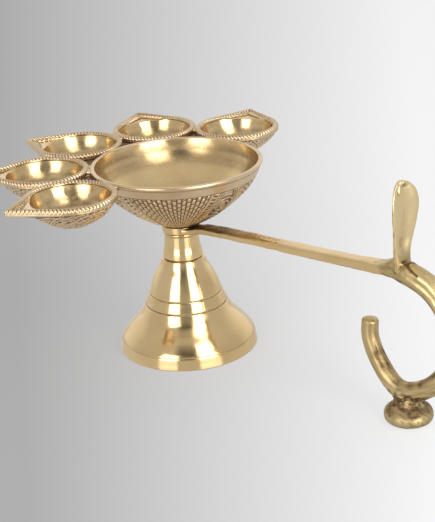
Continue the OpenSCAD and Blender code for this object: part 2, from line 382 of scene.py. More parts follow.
def make_bell():
    lip_r, _, top = box_mm("bell_foot")[1]
    crown_r = box_mm("neck_sleeve")[1][0] + 0.5
    shares = np.array(BELL_SHARES)
    flare_r = lip_r - 1
    corners = np.stack([crown_r + (flare_r - crown_r) * shares[:, 0],
                        LIP_H + (top - LIP_H) * shares[:, 1]], 1)
    wall = evenly(smooth(corners, 10), 0.22)
    inner = wall[wall[:, 1] < top - CROWN_T][::4] - [BELL_WALL, 0]
    for row in GROOVE_ROWS:
        wall[:, 0] -= GROOVE_DEPTH * np.exp(-((wall[:, 1] - corners[row, 1]) / GROOVE_HALF)**2)
    # a crease above the lip, and an eased top edge
    wall[:, 0] -= 0.28 * np.exp(-(wall[:, 1] - LIP_H) / 0.35)
    wall[:, 0] -= 0.8 * step_up(wall[:, 1], top - 0.7, top + 0.1)**2
    lip = evenly(smooth([[flare_r - 0.1, LIP_H - 0.25], [flare_r + 0.12, LIP_H - 0.7], [lip_r - 0.45, 3.0],
                         [lip_r, 0.8], [lip_r - 0.1, 0.25], [lip_r - 0.5, 0]], 6), 0.25)
    under = np.array([[lip_r - 1.5, 0], [lip_r - 2.6, 0.05], [lip_r - 3.1, 0.6]])
    crown = np.array([[inner[0, 0] - 1, top - CROWN_T], [6, top - CROWN_T], [BORE_R + 0.1, top - CROWN_T],
                      [BORE_R, top - CROWN_T + 0.1], [BORE_R, top - 0.1], [BORE_R + 0.1, top]])
    profile = np.vstack([wall, lip, under, inner[::-1], crown])
    rows = turned(profile, 288)
    around = np.arctan2(rows[..., 1], rows[..., 0])
    # hand spinning leaves the bell slightly out of round
    sag = 0.03 * (1 + np.cos(2 * around + 0.05 * rows[..., 2])) + 0.02 * (1 + np.cos(5 * around + 1.3))
    rows[..., :2] *= (1 - sag / np.maximum(profile[:, :1], 9))[..., None]
    points, faces = skinned(rows, loop=True)
    mesh = mesh_of("bell_foot", points, faces)
    mark_relief(mesh, 6, 0.05)
    piece(mesh, "foot", ["bell_foot"], [POLISHED, CAST])
    first_inner = (len(wall) + len(lip) + len(under)) * rows.shape[1]
    use_second_material(mesh, slice(first_inner, None))


def make_neck():
    lo, hi = box_mm("neck_sleeve")
    foot_r, z0, z1 = hi[0], lo[2], hi[2]
    tall = z1 - z0
    waist = foot_r - 1.3
    wall = evenly(smooth([[foot_r - 0.35, z0], [foot_r, z0 + 0.4], [foot_r - 0.3, z0 + 0.22 * tall],
                          [waist + 0.3, z0 + 0.5 * tall], [waist, z1 - 1.9], [waist + 0.05, z1 - 1.4],
                          [waist + 0.45, z1 - 0.9], [waist + 0.4, z1 - 0.35], [waist, z1]], 6), 0.2)
    profile = np.vstack([[[BORE_R, z1 - 0.05]], [[BORE_R, z0 + 0.05]], wall])
    points, faces = skinned(turned(profile, 192), loop=True)
    mesh = mesh_of("neck_sleeve", points, faces)
    height = read(mesh.vertices, "co", 3)[:, 2] / MM
    # the sleeve is darker at its joint with the bell and just under its top rim
    at_joint = 1 - step_up(height, z0 + 0.1, z0 + 0.6)
    under_rim = ridge(height - z1 + 1.5, 0.5)
    store(mesh, "grime_and_shade", 0.9 * at_joint + 0.35 * under_rim)
    piece(mesh, "foot", ["neck_sleeve"], [POLISHED])


def ring_outline(node):
    """Section of a plain washer on the stud, as large as its CAD node."""
    lo, hi = box_mm(node)
    r, z0, z1 = hi[0], lo[2], hi[2]
    return [[BORE_R, z0], [r, z0], [r, z1], [BORE_R, z1]]


def make_nut():
    """A hexagonal nut, chamfered on its lower face."""
    lo, hi = box_mm("clamp_nut")
    z0, z1 = lo[2], hi[2]
    half_flats = min(hi[0], hi[1])
    a = angles(240)
    hexagon = half_flats / np.cos((a + TURN / 12) % (TURN / 6) - TURN / 12)
    rows = []
    # up the outside, where each height has a largest radius, then down the bore
    for z, limit in ((z0, half_flats - 0.25), (z0 + 0.2, half_flats + 0.1), (z0 + 0.7, half_flats + 0.9),
                     (z1 - 0.2, half_flats * 1.2), (z1, half_flats * 1.14)):
        rows.append(circled(a, np.minimum(hexagon, limit), z))
    for z, r in ((z1, BORE_R + 0.4), (z1 - 0.4, BORE_R), (z0 + 0.4, BORE_R), (z0, BORE_R + 0.4)):
        rows.append(circled(a, r, z))
    points, faces = skinned(np.array(rows), loop=True)
    mesh = mesh_of("clamp_nut", points, faces)
    mesh.set_sharp_from_angle(angle=math.radians(25))
    piece(mesh, "foot", ["clamp_nut"], [HARDWARE])


THREAD_PITCH = 1.25
THREAD_DEPTH = 0.6
STUD_POINT = 0.7


def make_stud():
    """The threaded stud, pointed at its lower end and plain in the bowl."""
    lo, hi = box_mm("clamp_stud")
    r, z0, z1 = hi[0] - 0.02, lo[2], hi[2] - 0.02
    a = angles(48)
    z = np.arange(z0, z1, 0.14)[:, None]
    turn_share = (z / THREAD_PITCH - a / TURN) % 1
    threaded = step_up(z, z0, z0 + 1.2) * (1 - step_up(z, z1 - 6, z1 - 5))
    depth = THREAD_DEPTH * (1 - np.abs(2 * turn_share - 1)) * threaded
    radius = r - depth - STUD_POINT * (1 - step_up(z, z0, z0 + 0.8))
    points, faces = skinned(circled(a, radius, z), start=[0, 0, z0], end=[0, 0, z[-1, 0]])
    piece(mesh_of("clamp_stud", points, faces), "head", ["clamp_stud"], [HARDWARE])


# ---- bowl

# outside and inside of the bowl: share of the rim's radius, and of the bowl's height
BOWL_OUT = [[0.344, 0.066], [0.523, 0.208], [0.697, 0.396], [0.851, 0.597], [0.938, 0.785]]
BOWL_IN = [[0, 0.16], [0.282, 0.208], [0.564, 0.361], [0.795, 0.611], [0.903, 0.812]]
SEAT_R = 9.3
RIM_W = 2.0
FANS = 4
FAN_TURN = math.radians(-50.7)
# in degrees: half a fan's width at the seat, its gain up to the plain band, a ladder band's width
FAN_HALF = 20
FAN_GAIN = 10.5
BAND = 7.0
# lines of dashes in half a fan, dashes in a line, and rungs in a ladder band
RAYS = 8.5
DASHES = 9
RUNGS = 12.5
# share of the bowl's height that is chased, and how deep
CHASED_TO = 0.79
CHASED_DEPTH = 0.45
BOWL_COLUMNS = 900
HOLE_R = 4.0
HOLE_TOP = 4.0


def chased_pattern(angle, share, radius):
    """How deep the bowl's outside is cut: fans of dashes between ladder bands, and leaves between the fans.
    share runs from the seat to the plain band, and 0 is raised metal."""
    sector = 360 / FANS
    phi = (np.degrees(angle - FAN_TURN) + sector / 2) % sector - sector / 2
    side = np.abs(phi)
    mm = np.radians(1) * radius
    fan = FAN_HALF + FAN_GAIN * share
    # dashes that radiate from the foot of the fan, set like bricks
    ray = phi / fan * RAYS
    brick = share * DASHES + 0.5 * (np.floor(ray + 0.5) % 2)
    dash = ridge((ray + 0.5) % 1 - 0.5, 0.40)
    dash = dash * np.maximum(ridge((brick % 1) - 0.5, 0.46), 1 - step_up(share, 0.15, 0.35))
    in_fan = step_up(fan - side, 0, 0.6)
    # ladder bands
    across = (side - fan) / BAND
    past_fan = (side - fan) * mm
    past_band = (side - fan - BAND) * mm
    rung = ridge(((share * RUNGS + across * 0.7) % 1) - 0.5, 0.34) * ridge(across - 0.5, 0.46)
    edges = np.maximum(ridge(past_fan - 0.55, 0.5), ridge(past_band + 0.55, 0.5))
    in_band = step_up(across, 0, 0.05) * step_up(1 - across, 0, 0.05)
    ladder = np.maximum(rung, edges)
    # leaves: lines along the edge, curls near the top, slanted lines low down
    lines = np.maximum(ridge(past_band - 0.6, 0.45), ridge(past_band - 1.8, 0.35))
    middle = (sector / 2 - side) * mm
    curl = np.hypot(middle, (share - 0.62) * 26)
    lines = np.maximum(lines, ridge((curl % 2.0) - 1.0, 0.5) * step_up(5.8 - curl, 0, 0.3))
    slanted = ridge((share * 16 + middle * 0.25) % 1 - 0.5, 0.3)
    lines = np.maximum(lines, slanted * step_up(0.42 - share, 0, 0.05))
    in_leaf = step_up(across - 1, 0, 0.05)
    cut = in_fan * (1 - dash) + in_band * (1 - ladder) + in_leaf * (1 - lines)
    # a cut line on both sides of each band, and one under the plain band
    cut = np.maximum(cut, ridge(past_fan + 0.45, 0.5))
    cut = np.maximum(cut, ridge(past_band - 0.2, 0.4))
    cut = np.maximum(cut, 0.9 * ridge((share - 0.985) * 30, 0.45))
    return cut * (0.45 + 0.55 * step_up(share, 0.1, 0.3)) * step_up(share, 0.0, 0.03) * (share < 0.998)


def make_bowl():
    lo, hi = box_mm("bowl")
    r, z0, z1 = hi[0], lo[2], hi[2]
    tall = z1 - z0
    out_corners = [[SEAT_R, 0]] + [[r * a, tall * b] for a, b in BOWL_OUT] + [[r - 0.6, tall - 2]]
    in_corners = [[r * a, tall * b] for a, b in BOWL_IN] + [[r - RIM_W, tall - 0.5]]
    hole = np.array([[HOLE_R - 0.1, HOLE_TOP], [HOLE_R, HOLE_TOP - 0.1], [HOLE_R, 0.2], [HOLE_R + 0.2, 0],
                     [SEAT_R - 0.8, 0], [SEAT_R - 0.25, 0.02]])
    outer = evenly(smooth(out_corners, 10), 0.3)
    rim = evenly(smooth([[r - 0.5, tall - 1.8], [r - 0.05, tall - 1.2], [r, tall - 0.6],
                         [r - 0.35, tall - 0.1], [r - 0.8, tall], [r - RIM_W + 0.4, tall - 0.05],
                         [r - RIM_W, tall - 0.4]], 5), 0.3)
    inner = evenly(smooth(in_corners, 10), 0.6)[::-1][:-1]
    profile = np.vstack([hole, outer, rim, inner])
    rows = turned(profile, BOWL_COLUMNS)
    part = slice(len(hole), len(hole) + len(outer))
    along = np.gradient(outer, axis=0)
    along /= np.linalg.norm(along, axis=1, keepdims=True)
    normal = np.stack([along[:, 1], -along[:, 0]], 1)
    angle = np.arctan2(rows[part, :, 1], rows[part, :, 0])
    share = np.clip((outer[:, 1:] / tall) / CHASED_TO, 0, 1)
    depth = CHASED_DEPTH * chased_pattern(angle, share, outer[:, :1])
    # uneven ground
    depth = depth + 0.03 * (1 + uneven(rows[part], 2.2, 3)) * step_up(share, 0.02, 0.1) * (share < 1)
    out_r = normal[:, :1] * depth
    rows[part, :, 0] -= out_r * np.cos(angle)
    rows[part, :, 1] -= out_r * np.sin(angle)
    rows[part, :, 2] -= normal[:, 1:] * depth
    rows[..., 2] += z0
    points, faces = skinned(rows, start=[0, 0, z0 + HOLE_TOP], end=[0, 0, z0 + inner[-1, 1]])
    mesh = mesh_of("bowl", points, faces)
    mark_relief(mesh, 5, 0.06)
    height = read(mesh.vertices, "co", 3)[:, 2] / MM - z0
    # painted shade: the bowl's foot darkens where it sits on the eye, as the shadow in the gap there
    store(mesh, "grime_and_shade", 1 - step_up(height, 0.5, 1.3))
    piece(mesh, "head", ["bowl"], [CHASED, POLISHED])
    polish_inside(mesh, rows, len(hole) + len(outer) + len(rim))


# ---- wick cups

CUP_R = 20.4
CUP_RIM = 2.9
CUP_H = 14.0
BEAK_REACH = 30.6
BEAK_H = 2.6
WICK_REACH = 23.8
NOSE = 0.8
WICK_NOSE = 0.3
CUP_RING_R = 59.75
CUP_PITCH = 40.2
FAN_OFFSET = 5.8
# each cup's own turn in degrees, as they are set by hand
BEAK_TURN = (-9, 1.5, 12.5, 6.5, 13.5)
ROPE_PITCH = 1.75
ROPE_R = 1.42
STRAND_DEPTH = 0.42
PETALS = 7
VEINS = 28
BEAK_BAR_PITCH = 1.5
CUP_COLUMNS = 520


def cup_angle(i):
    """Direction of a cup from the bowl's axis, in degrees."""
    return 180 + FAN_OFFSET + CUP_PITCH * (3 - i)


def spout_radius(angle, r, reach, nose):
    """Outline of a round mouth with a pointed spout along angle 0."""
    tangent = math.acos(r / reach)
    side = np.abs((angle + math.pi) % TURN - math.pi)
    out = np.where(side < tangent, r / np.cos(tangent - np.minimum(side, tangent)), r)
    blunt = (reach - nose) / np.maximum(np.cos(side), 0.2) + nose * np.cos(np.minimum(side * 9, 1.5))
    return np.minimum(out, blunt)


def cup_columns(count):
    """Angles that divide the cup's outline into equal lengths, and the length passed at each."""
    a = np.linspace(-math.pi, math.pi, 4001)
    r = spout_radius(a, CUP_R, BEAK_REACH, NOSE)
    line = np.stack([r * np.cos(a), r * np.sin(a)], 1)
    gone = np.r_[0, np.cumsum(np.linalg.norm(np.diff(line, axis=0), axis=1))]
    s = np.arange(count) / count * gone[-1]
    return np.interp(s, gone, a), s, gone[-1]


def cup_rows(seed):
    """Rings up a cup's outside, over its rope and down its inside, and the first inner ring's number. The
    rim's top is at height 0, and the beak points along X."""
    angle, gone, length = cup_columns(CUP_COLUMNS)
    out_r = spout_radius(angle, CUP_R, BEAK_REACH, NOSE)
    in_r = spout_radius(angle, CUP_R - CUP_RIM, WICK_REACH, WICK_NOSE)
    beak = np.clip((out_r - CUP_R) / (BEAK_REACH - CUP_R), 0, 1)
    dish = evenly(smooth([[0, -CUP_H], [7, 0.8 - CUP_H], [13.6, 4.2 - CUP_H], [18, 8.6 - CUP_H],
                          [CUP_R - 0.35, -BEAK_H - 0.2]], 8), 0.45)[1:]
    hollow = evenly(smooth([[CUP_R - CUP_RIM, -0.6], [16.3, 10 - CUP_H], [14.6, 6.6 - CUP_H],
                            [12, 4 - CUP_H], [7.6, 2.2 - CUP_H], [0, 1.6 - CUP_H]], 8), 0.5)[:-1]
    rows = []

    def ring(r, z):
        rows.append(circled(angle, r, z))

    # chased outside of the dish: petals whose arched edges stand a little proud of stippled ground. Under
    # the beak the dish ends lower, so that the beak has a keel.
    keel = beak**0.6
    dish_share = np.linspace(0, 1, len(dish))
    for t in dish_share:
        at = t * (1 - 0.22 * keel)
        r = np.interp(at, dish_share, dish[:, 0])
        z = np.interp(at, dish_share, dish[:, 1])
        share = (z + CUP_H) / (CUP_H - BEAK_H)
        arch = 0.45 + 0.4 * np.abs(np.cos(PETALS / 2 * angle))
        edge = ridge((share - arch) * 11, 0.6)
        inner_edge = ridge((share - arch + 0.12) * 11, 0.4)
        veins = ridge(((angle * VEINS / TURN) % 1) - 0.5, 0.3)
        veins = veins * (share < arch - 0.15) * step_up(share, 0.08, 0.2)
        lift = 0.22 * edge + 0.1 * inner_edge - 0.2 * veins - 0.12 * step_up(share, 0.1, 0.2)
        ring(r + lift * 0.7, z - lift * 0.7)
    outside = len(rows)
    # underside of the beak, hollowed a little, then its side up to the rope
    foot_r = np.hypot(rows[-1][:, 0], rows[-1][:, 1])
    foot_z = rows[-1][:, 2]
    side_z = -BEAK_H - 0.1 * keel
    for t in (0.2, 0.4, 0.6, 0.8, 0.95):
        ring(foot_r * (1 - t) + (out_r - 0.1) * t - 0.4 * beak * math.sin(math.pi * t),
             foot_z * (1 - t) + (side_z - 0.1) * t + 0.25 * keel * math.sin(math.pi * t))
    for t in (0, 0.35, 0.7, 1):
        ring(out_r - 0.06 - 0.1 * math.sin(math.pi * t), side_z * (1 - t) - 1.62 * t)
    # the rope: half a round bead over the rim, with strands that run across it slantwise
    strands = round(length / ROPE_PITCH)
    flat = np.maximum(out_r - in_r - 2 * ROPE_R, 0)
    for psi in np.linspace(-1.25, 1.5, 17):
        strand = np.cos(TURN * (gone / length * strands) + 1.9 * psi)
        size = ROPE_R - STRAND_DEPTH * step_up(-strand, -0.2, 1.0)
        ring(out_r - ROPE_R - size * math.sin(psi), -1.35 + size * math.cos(psi))
    # flat panel of the beak with a few bars across it
    for t in np.linspace(0.08, 0.95, 12):
        r = (out_r - 2 * ROPE_R) * (1 - t) + (in_r + 0.1) * t
        on_panel = step_up(flat, 0.3, 1.0)
        bars = ridge(((r * np.cos(angle) / BEAK_BAR_PITCH) % 1) - 0.5, 0.3) * on_panel
        ring(np.minimum(r, out_r - 2 * ROPE_R * 0.95), -0.7 - 0.9 * (1 - bars) * on_panel)
    first_inner = len(rows)
    # inside: down the edge of the wick channel, along its floor, and down the hollow
    channel = np.clip((in_r - (CUP_R - CUP_RIM)) / (WICK_REACH - CUP_R + CUP_RIM), 0, 1)
    deep = step_up(channel, 0, 0.12)
    for t in (0.3, 0.6, 0.9):
        ring(in_r - 0.25 * t, -0.75 - t * (0.35 + 0.7 * deep))
    for t in (0.25, 0.5, 0.75):
        ring((in_r - 0.25) * (1 - t) + (CUP_R - CUP_RIM - 0.2) * t, -1.1 - deep * (0.5 + 0.1 * t))
    for r, z in hollow[2:]:
        ring(r, np.minimum(z, -1.15 - 0.6 * deep))
    rows = np.array(rows)
    stipple = np.clip(uneven(rows[:outside], 1.5, seed + 60), -1, 1)
    rows[:outside] *= 1 - 0.006 * (1 + stipple)[..., None]
    rows = rows + 0.04 * uneven(rows, 5, seed)[..., None] * np.array([1, 1, 0.5])
    return rows, first_inner


def make_cup(i):
    rows, first_inner = cup_rows(seed=20 + i)
    points, faces = skinned(rows, start=[0, 0, -CUP_H], end=[0, 0, 2 - CUP_H])
    mesh = mesh_of(f"cup_{i}", points, faces)
    mark_relief(mesh, 5, 0.07)
    turn = math.radians(cup_angle(i))
    rim_z = box_mm(f"cup_{i}")[1][2]
    centre = Vector((CUP_RING_R * math.cos(turn), CUP_RING_R * math.sin(turn), rim_z)) * MM
    place = Matrix.Translation(centre) @ Matrix.Rotation(turn + math.radians(BEAK_TURN[i - 1]), 4, "Z")
    piece(mesh, "head", [f"cup_{i}"], [CHASED, POLISHED], place)
    polish_inside(mesh, rows, first_inner)


WEB_H = 3.0
# dark sheets that paint the shade in the pockets between the bowl and the cups: how far below the webs'
# top, and how far inside the bowl's rim
SHEET_SUNK = 2.4
SHEET_INSET = 1.6


def web(centre_a, r_a, centre_b, r_b, half, seed):
    """A small bridge of braze between two round walls, with scooped ends."""
    a, b = np.array(centre_a, float), np.array(centre_b, float)
    way = (b - a) / np.linalg.norm(b - a)
    cross = np.array([-way[1], way[0]])
    apart = np.linalg.norm(b - a)
    top = box_mm("cup_webs")[1][2]
    rows = []
    for s in np.linspace(-1, 1, 25):
        y = s * half
        low = math.sqrt(r_a**2 - y * y) - 1.1
        high = apart - math.sqrt(r_b**2 - y * y) + 1.1
        section = []
        # along the top, and back along the underside
        for u, v in [(x, 1) for x in np.linspace(0, 1, 9)] + [(x, 0) for x in np.linspace(1, 0, 9)]:
            scoop = 0.5 * math.sin(math.pi * u)
            along = low + (high - low) * u
            tip = y * (1 - 0.12 * math.sin(math.pi * u) * abs(s))
            z = top - 0.15 - scoop * (0.4 + 0.6 * s * s) if v else top - WEB_H + scoop
            section.append([*(a + way * along + cross * tip), z])
        rows.append(section)
    rows = np.array(rows)
    rows = rows + 0.07 * uneven(rows, 2.4, seed)[..., None]
    return skinned(rows, start=rows[0].mean(0), end=rows[-1].mean(0))


def shade_sheet(middle, bowl_r, seed):
    """A thin sunken dark sheet between the bowl and two neighbouring cups: painted shade in the pocket
    between them.
    """
    top = box_mm("cup_webs")[1][2] - SHEET_SUNK
    root = bowl_r - SHEET_INSET
    tip = CUP_RING_R * math.cos(math.radians(CUP_PITCH / 2)) - 0.6
    # corners as [radius, degrees from the middle]
    corners = [[root, -15], [root, -5], [root, 5], [root, 15], [tip, 0.7], [tip, -0.7]]
    r, turn = np.array(corners).T
    turn = np.radians(middle + turn)
    edge = np.stack([r * np.cos(turn), r * np.sin(turn)], 1)
    centre = edge.mean(0)
    rows = []
    for share, z in ((0.3, -0.25), (0.65, -0.15), (1, 0), (1, -0.9), (0.5, -1.1)):
        ring = evenly(np.vstack([edge, edge[:1]]), 0.8)[:-1]
        rows.append(np.column_stack([centre + (ring - centre) * share, np.full(len(ring), top + z)]))
    rows = np.array(rows)
    rows[..., 2] += 0.12 * uneven(rows, 2.5, seed)
    return skinned(rows, start=rows[0].mean(0), end=rows[-1].mean(0))


def make_webs():
    bowl_r = box_mm("bowl")[1][0]
    turns = {i: math.radians(cup_angle(i)) for i in range(1, 6)}
    centres = {i: CUP_RING_R * np.array([math.cos(turn), math.sin(turn)]) for i, turn in turns.items()}
    parts = [web((0, 0), bowl_r, centres[i], CUP_R, half=5.6, seed=40 + i) for i in range(1, 6)]
    parts += [web(centres[i], CUP_R, centres[i + 1], CUP_R, half=3.6, seed=50 + i) for i in range(1, 5)]
    bridges = sum(len(part[0]) for part in parts)
    parts += [shade_sheet((cup_angle(i) + cup_angle(i + 1)) / 2, bowl_r, seed=70 + i) for i in range(1, 5)]
    mesh = mesh_of("cup_webs", *joined(parts))
    # the sunken sheets are dark all over, as painted shade in the pockets
    store(mesh, "relief", 0.15 + 0.25 * uneven(read(mesh.vertices, "co", 3) / MM, 2.0, 9))
    store(mesh, "grime_and_shade", np.arange(len(mesh.vertices)) >= bridges)
    piece(mesh, "head", ["cup_webs"], [CHASED])


# ---- handle

BAR_RISE = 6.5
BAR_T = 3.2
BAR_END_T = 4.8
BAR_START_X = 5.6
BAR_TAPER_X = 30
BAR_CROWN = 0.16
EYE_R = 8.7
# between the rings of the bar and of the loop
RING_STEP = 0.5
LOOP_LINE = [
    [129, 64.8], [139.4, 60], [146.3, 51], [148.9, 40], [146.3, 28.6], [139.5, 19.6],
    [130, 13.9], [122.8, 12.9], [116.4, 17.4], [111, 25.2], [107.9, 33], [108.2, 41]
]
# middle of the loop, as (x, z)
LOOP_CENTRE = (129, 39)
LOOP_R = 5.15
TAIL_R = 3.6
ROOT_LENGTH = 9
TAIL_END = 0.9
BAR_END_X = 120.0
LEAF_X = 124.3
SLIT_HALF = 0.6
SLIT_DEPTH = 1.5
BUTTON_X = 127.0


def bar_line():
    """Points of the bar's middle line, as [x, z], from the clamp to the loop."""
    mid = np.mean([box_mm("seat_washer")[0][2], box_mm("neck_sleeve")[1][2]])
    return [[0, mid], [9, mid], [18, mid + 1.7], [45, mid + 3.2], [85, mid + 4.7],
            [BAR_END_X, mid + BAR_RISE]]


def swept(line, section):
    """Rings of a section swept along a line in the XZ plane. section(i) gives the [outward, sideways]
    points of ring number i."""
    way = np.gradient(line, axis=0)
    way /= np.linalg.norm(way, axis=1, keepdims=True)
    rows = []
    for i, (p, w) in enumerate(zip(line, way)):
        out, across = section(i).T
        rows.append(np.stack([p[0] - w[1] * out, across, p[1] + w[0] * out], 1))
    return np.array(rows)


def make_bar():
    line = evenly(smooth(bar_line(), 12), RING_STEP)
    line = line[line[:, 0] > BAR_START_X]
    # half widths along the bar, as [x, half width]
    widths = smooth([[0, 4.2], [22, 4.2], [70, 3.6], [104, 3.6], [113, 4.3], [BAR_END_X, 3.9]], 8)
    a = angles(64)
    blunt = 0.42
    up = np.sign(np.sin(a)) * np.abs(np.sin(a))**blunt
    over = np.sign(np.cos(a)) * np.abs(np.cos(a))**blunt

    def section(i):
        x = line[i, 0]
        # the bar flares into its eye, and thins again inside the casting
        w = np.interp(x, widths[:, 0], widths[:, 1]) + 2.6 * math.exp(-(x - BAR_START_X) / 3.2)
        thick = (BAR_T + (BAR_END_T - BAR_T) * max(0, x - BAR_TAPER_X) / (BAR_END_X - BAR_TAPER_X)) / 2
        thick *= 1 - 0.25 * step_up(x, 112, BAR_END_X)
        crown = BAR_CROWN * (1 - over**2) * (up > 0)
        return np.stack([thick * up + crown - BAR_CROWN * (up > 0),
                         w * over * (1 - 0.06 * (1 - up) / 2)], 1)

    rows = swept(line, section)
    rows = rows + 0.06 * uneven(rows, 9, 31)[..., None] + 0.025 * uneven(rows, 2.5, 32)[..., None]
    start = [line[0, 0], 0, line[0, 1]]
    end = [line[-1, 0], 0, line[-1, 1]]
    z0, z1 = box_mm("neck_sleeve")[1][2], box_mm("seat_washer")[0][2]
    # near the stud the bar stays inside the eye's faces
    within = np.clip(rows[..., 2], z0 + 0.02, z1 - 0.02)
    rows[..., 2] = np.where(rows[..., 0] < 12, within, rows[..., 2])
    eye_outline = eased([[BORE_R, z0], [EYE_R, z0], [EYE_R, z1], [BORE_R, z1]], 0.4)
    eye = skinned(turned(eye_outline, 144), loop=True)
    mesh = mesh_of("handle_bar", *joined([skinned(rows, start=start, end=end), eye]))
    mark_relief(mesh, 8, 0.06)
    co = read(mesh.vertices, "co", 3) / MM
    facing = read(mesh.vertices, "normal", 3)
    # painted shade: the bar darkens on its underside
    under = step_up(-facing[:, 2], 0.2, 0.9)
    grime_and_shade = 0.5 * under * (0.5 + uneven(co, 6, 33))
    # painted shade: the bar under the bowl darkens as the bowl's shadow and dark reflection, and so does
    # the top of the eye, as the shaded gap under the bowl
    sheltered = (1 - step_up(co[:, 0], 26, 44)) * step_up(co[:, 0], 8, 9)
    bowl_shade = (0.62 * step_up(facing[:, 2], 0.3, 0.8) + 0.25) * (0.9 + 0.3 * uneven(co, 5, 34))
    on_eye = np.hypot(co[:, 0], co[:, 1]) < 9
    grime_and_shade += sheltered * bowl_shade
    grime_and_shade += 0.9 * step_up(co[:, 2], z1 - 0.5, z1 - 0.1) * on_eye
    store(mesh, "grime_and_shade", np.clip(grime_and_shade, 0, 1))
    piece(mesh, "handle", ["handle_bar"], [DRAWN])


def loop_part():
    start = bar_line()[-1]
    line = evenly(smooth([start] + LOOP_LINE, 10), RING_STEP)
    a = angles(72)

    def section(i):
        # the rod thins along its length, and more at its root and at its end
        share = i / (len(line) - 1)
        left = (len(line) - 1 - i) * RING_STEP
        r = TAIL_R + (LOOP_R - TAIL_R) * (1 - share)
        r *= 1 - 0.36 * (1 - min(1, i * RING_STEP / ROOT_LENGTH))**2
        r *= 1 - 0.3 * max(0, 1 - left / TAIL_END)**2
        # a shallow groove runs along the side that faces -Y, between two soft ridges
        beside = (a + math.pi / 2 - 0.25 + math.pi) % TURN - math.pi
        groove = np.exp(-(beside / 0.2)**2) * step_up(share, 0.03, 0.12) * (1 - step_up(share, 0.55, 0.8))
        ridges = np.exp(-((np.abs(beside) - 0.6) / 0.3)**2)
        reach = r * (1 - 0.10 * groove + 0.02 * ridges)
        return np.stack([reach * np.cos(a), reach * np.sin(a) * 0.97], 1)

    rows = swept(line, section)
    return skinned(rows, start=[line[0, 0], 0, line[0, 1]], end=rows[-1].mean(0) + [0.2, 0, 0.3])


def leaf_part():
    base = bar_line()[-1][1] + 1.0
    _, w, top = box_mm("thumb_leaf")[1]
    # up the leaf, as [share of its height, share of its half width, lean along X]
    shape = smooth([[0, 0.57, 0], [0.22, 0.61, 0], [0.5, 0.88, 1.3], [0.72, 1.0, 1.8], [0.87, 0.87, 1.2],
                    [0.96, 0.54, 0.1], [1, 0.18, -0.4]], 9)
    a = angles(96)
    rows = []
    for share, half, lean in shape:
        # the thumb's side, towards +X, is scooped
        thick = 1.45 + 0.9 * (1 - share)
        scoop = 1.35 * step_up(share, 0.05, 0.35) * (1 - step_up(share, 0.93, 1.0))
        front = np.cos(a) > 0
        x = thick * np.cos(a) * np.where(front, 1 - scoop * np.cos(a)**2, 1.0)
        y = w * half * np.sin(a)
        # the tip is split near its -Y edge, where the sheet was folded over
        slit = np.exp(-((y + 0.4 * w * half) / SLIT_HALF)**2) * step_up(share, 0.84, 0.93) * front
        x = x - SLIT_DEPTH * slit
        rows.append(np.stack([LEAF_X + lean + x, y, base + (top - base) * share + 0 * a], 1))
    rows = np.array(rows)
    return skinned(rows, start=rows[0].mean(0), end=rows[-1].mean(0))


def gusset(stations):
    """A smooth filler between parts, from level ovals: [height, centre x, half length, half width]."""
    a = angles(72)
    rows = [np.stack([x + length * np.cos(a), width * np.sin(a), z + 0 * a], 1)
            for z, x, length, width in smooth(stations, 6)]
    return skinned(np.array(rows), start=rows[0].mean(0), end=rows[-1].mean(0))


def button_part():
    lo, hi = box_mm("button_foot")
    r, tall = (hi[0] - lo[0]) / 2, hi[2]
    top = tall + 0.4
    side = smooth([[r - 2.4, 0], [r - 0.5, 1.2], [r, 3.2], [r - 0.5, 5], [r - 2.4, 6.8], [5.8, 8.4],
                   [4.6, top]], 6)
    rows = turned(side, 96) + [BUTTON_X, 0, 0]
    return skinned(rows, start=[BUTTON_X, 0, 0], end=[BUTTON_X, 0, top])


